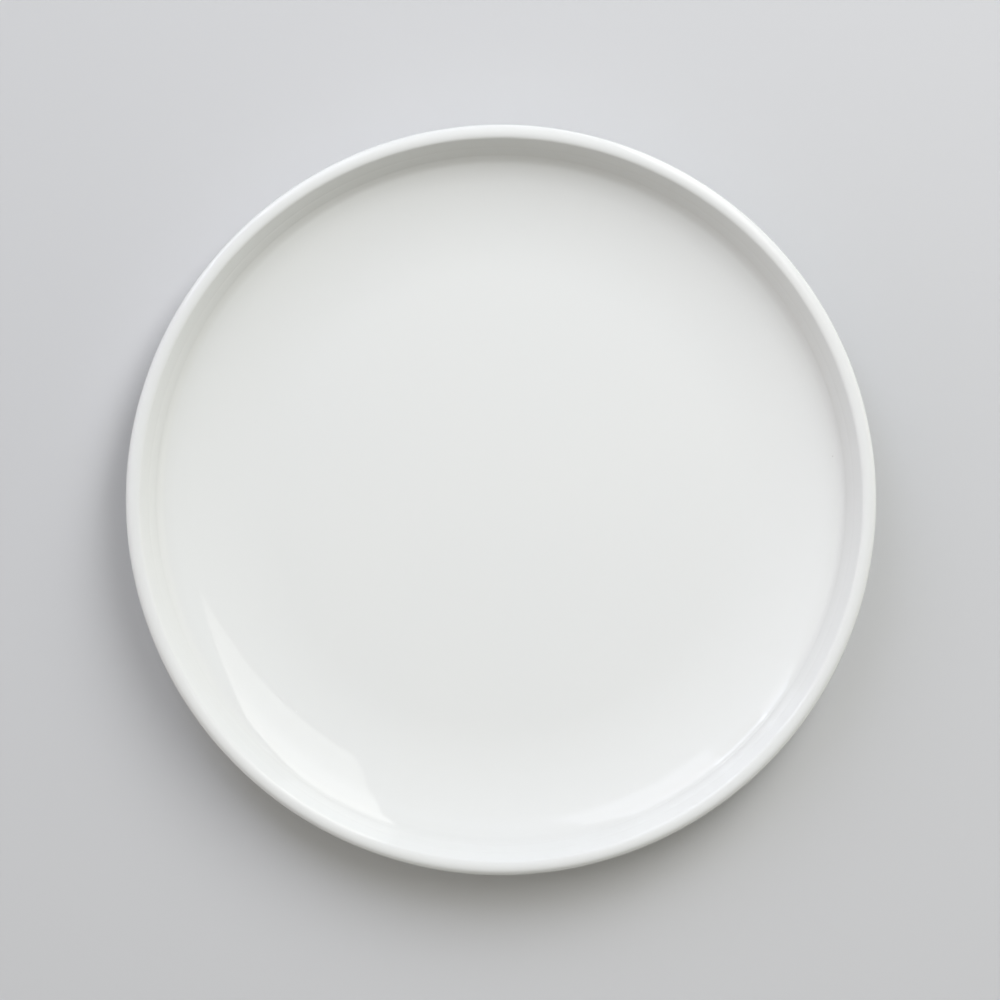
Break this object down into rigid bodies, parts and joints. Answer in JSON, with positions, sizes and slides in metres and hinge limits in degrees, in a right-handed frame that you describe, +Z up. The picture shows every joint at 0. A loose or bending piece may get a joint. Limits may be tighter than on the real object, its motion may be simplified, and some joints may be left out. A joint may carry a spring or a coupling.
{
  "type": "plate",
  "caption": "Round white glazed porcelain plate with a flat well, a short leaning wall, a lip with a shallow crown and a turned foot ring.",
  "frame": {"origin": "centre of the foot ring at the table, on the plate's axis", "axes": "+Z up along the plate's axis, +X and +Y across the plate"},
  "size_m": [0.25, 0.25, 0.0265],
  "materials": {
    "bare_porcelain": "bare fired porcelain, smooth and matte",
    "white_glaze": "clear white gloss glaze"
  },
  "bodies": {
    "root": {"porcelain_body": "bare_porcelain", "face_glaze": "white_glaze", "base_glaze": "white_glaze"}
  },
  "joints": []
}
